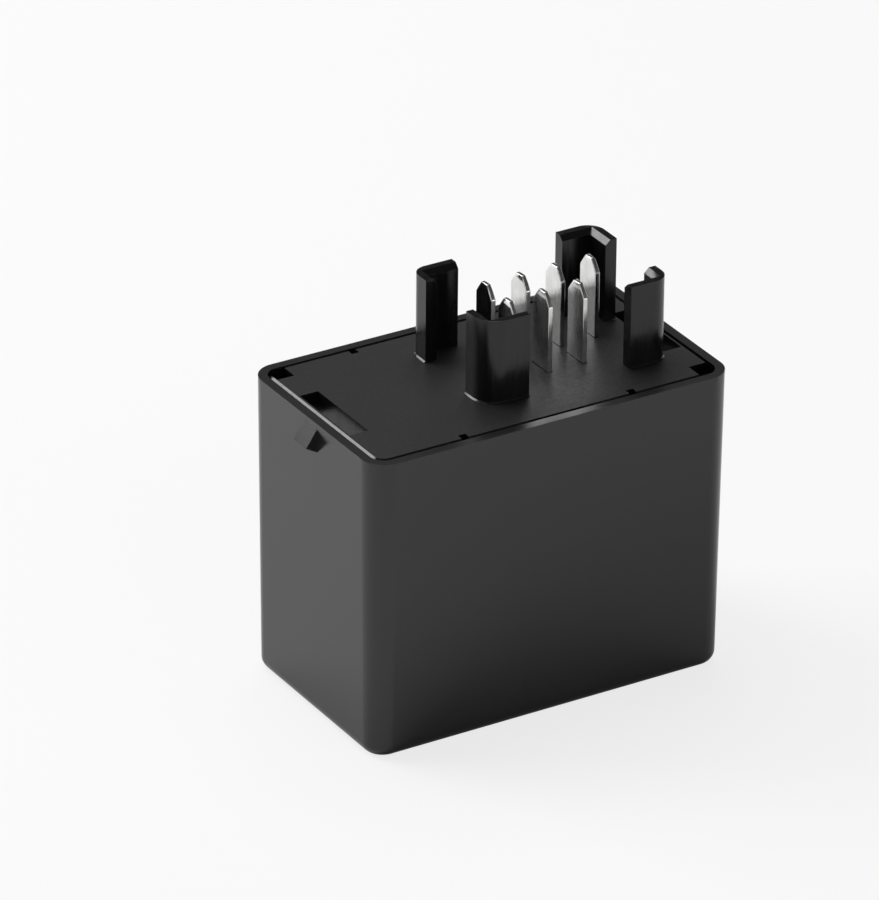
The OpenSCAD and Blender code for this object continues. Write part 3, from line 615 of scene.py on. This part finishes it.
WHITE = 0.967               # how bright the paper and the backdrop look
PAPER_SHADE = 0.2           # share of that which takes the object's shadow
OPEN_LIGHT = 0.94           # what the lamps give the open paper
AIR = 0.06                  # light from the dim room all round


def kinds_of_ray(s):
    """1 for a ray from the camera; 1 for one that shows a thing in a gloss or through glass."""
    path = s.add("LightPath").outputs
    return path["Is Camera Ray"], s.math("MAXIMUM", path["Is Glossy Ray"], path["Is Transmission Ray"])


def floor_material():
    """Paper that looks nearly white directly, and that a gloss shows as the lamps light it."""
    material = bpy.data.materials.new("stage_paper")
    material.use_nodes = True
    s = Shader(material.node_tree)
    principled = material.node_tree.nodes["Principled BSDF"]
    direct, mirrored = kinds_of_ray(s)
    lit = s.mix(mirrored, rgb(0.8, 0.8, 0.8), rgb(WHITE, WHITE, WHITE))
    s.put(s.mix(direct, lit, rgb(*[PAPER_SHADE] * 3)), principled.inputs["Base Color"])
    principled.inputs["Roughness"].default_value = 0.9
    principled.inputs["Specular IOR Level"].default_value = 0.0
    principled.inputs["Emission Color"].default_value = rgb(1, 1, 1)
    s.put(s.math("MULTIPLY", direct, WHITE - PAPER_SHADE * OPEN_LIGHT),
          principled.inputs["Emission Strength"])
    return material


def flat_sheet(name, low, high, level, material):
    """A level rectangle of the stage between two corners."""
    mesh = bpy.data.meshes.new(name)
    mesh.from_pydata([(low[0], low[1], level), (high[0], low[1], level), (high[0], high[1], level),
                      (low[0], high[1], level)], [], [(0, 1, 2, 3)])
    mesh.materials.append(material)
    sheet = link(name, mesh)
    return sheet


def stage():
    flat_sheet("floor", (-3.0, -3.0), (3.0, 3.0), 0.0, floor_material())
    world = bpy.data.worlds.new("world")
    scene.world = world
    world.use_nodes = True
    s = Shader(world.node_tree)
    background = world.node_tree.nodes["Background"]
    background.inputs["Color"].default_value = rgb(1, 1, 1)
    aim = s.add("SeparateXYZ")
    s.put(s.add("TexCoord").outputs["Generated"], aim.inputs[0])
    straight, mirrored = kinds_of_ray(s)
    horizon = s.math("MULTIPLY", mirrored, s.soft(aim.outputs[2], 0.1, 0.35, 1.0, 0.0))
    white = s.math("MAXIMUM", straight, horizon)
    s.put(s.ramp(white, 0, 1, AIR, WHITE), background.inputs["Strength"])


def area_lamp(name, place, target, size, share):
    """A soft lamp; share is how much of the white level it gives a surface that faces it."""
    place = Vector(place)
    away = place - Vector(target)
    data = bpy.data.lights.new(name, "AREA")
    data.shape = "RECTANGLE"
    data.size, data.size_y = size
    data.energy = share * math.pi ** 2 * away.length_squared
    lamp = bpy.data.objects.new(name, data)
    scene.collection.objects.link(lamp)
    lamp.location = place
    lamp.rotation_mode = "QUATERNION"
    lamp.rotation_quaternion = away.to_track_quat("Z", "Y")
    lamp.visible_camera = False
    return lamp


def lights():
    """Two soft lamps behind and above, and two weak ones in front; together about one white level."""
    area_lamp("key", (-0.42, 0.46, 0.4), (0, 0, 0.02), (0.45, 0.35), 0.62)
    area_lamp("top", (0.0, 0.28, 0.85), (0, 0, 0.02), (0.8, 0.6), 0.55)
    area_lamp("front", (0.2, -0.38, 0.13), (0, 0, 0.02), (0.24, 0.16), 0.1)
    area_lamp("fill", (-0.15, -0.6, 0.45), (0, 0, 0.02), (0.5, 0.4), 0.12)


# ------------------------------------------------------------ build

# radius of the edges, in millimetres
RELAY_EDGES = {"bobbin": 0.12, "core": 0.1, "yoke": 0.12, "armature": 0.1, "leaf": 0.04,
               "moving_contact": 0.08, "open_strip": 0.06, "rest_strip": 0.06,
               "open_contact": 0.08, "rest_contact": 0.08}
GUARDS_FROM = 33 * MM       # edges above this level are the guards' own
PLATE_SHARE = 0.36          # share of the guards' rounding that the plate's edges get

# where tinned leads leave their bodies
CAPACITOR_TOP = 26.25 * MM
DIODE_END = 2.62 * MM
CHIP_SIDE = 1.98 * MM
RESISTOR_ROW = 1.3 * MM     # from the middle of the group to each row
RESISTOR_BODY = 0.8 * MM    # half a resistor's body between its end caps

TINNED = MATERIALS["tinned_brass"]
TERMINALS = ["terminal_%d" % number for number in range(1, 8)]

place_camera()
finish_cad_nodes()
rounded("cover", 0.15 * MM)
rounded("base", 0.22 * MM, flatten=False,
        share=lambda middle: 1.0 if middle.z > GUARDS_FROM else PLATE_SHARE)
for terminal in TERMINALS:
    rounded(terminal, 0.05 * MM, 2)
for relay in ("flasher", "stand"):
    relay_pieces(relay)
    for node, radius in RELAY_EDGES.items():
        rounded(relay + "_" + node, radius * MM, 2)

board_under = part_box("circuit_board")[0][2]
blades = [middle_of(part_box(terminal)) for terminal in TERMINALS]
grown("terminal_solder", SOLDER, {}, [(blade.x, blade.y, board_under) for blade in blades])

repaint(rounded("timing_capacitor", 0.1 * MM, 2), TINNED, lambda at: at.z > CAPACITOR_TOP)
repaint(rounded("blocking_diode", 0.08 * MM, 2), TINNED, lambda at: abs(at.x) > DIODE_END)
repaint(rounded("flasher_chip", 0.03 * MM, 2), TINNED, lambda at: abs(at.x) > CHIP_SIDE)
resistors = middle_of(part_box("chip_resistors"))
repaint(rounded("chip_resistors", 0.03 * MM, 2), TINNED,
        lambda at: abs(abs(at.y - resistors.y) - RESISTOR_ROW) > RESISTOR_BODY)
stage()
lights()
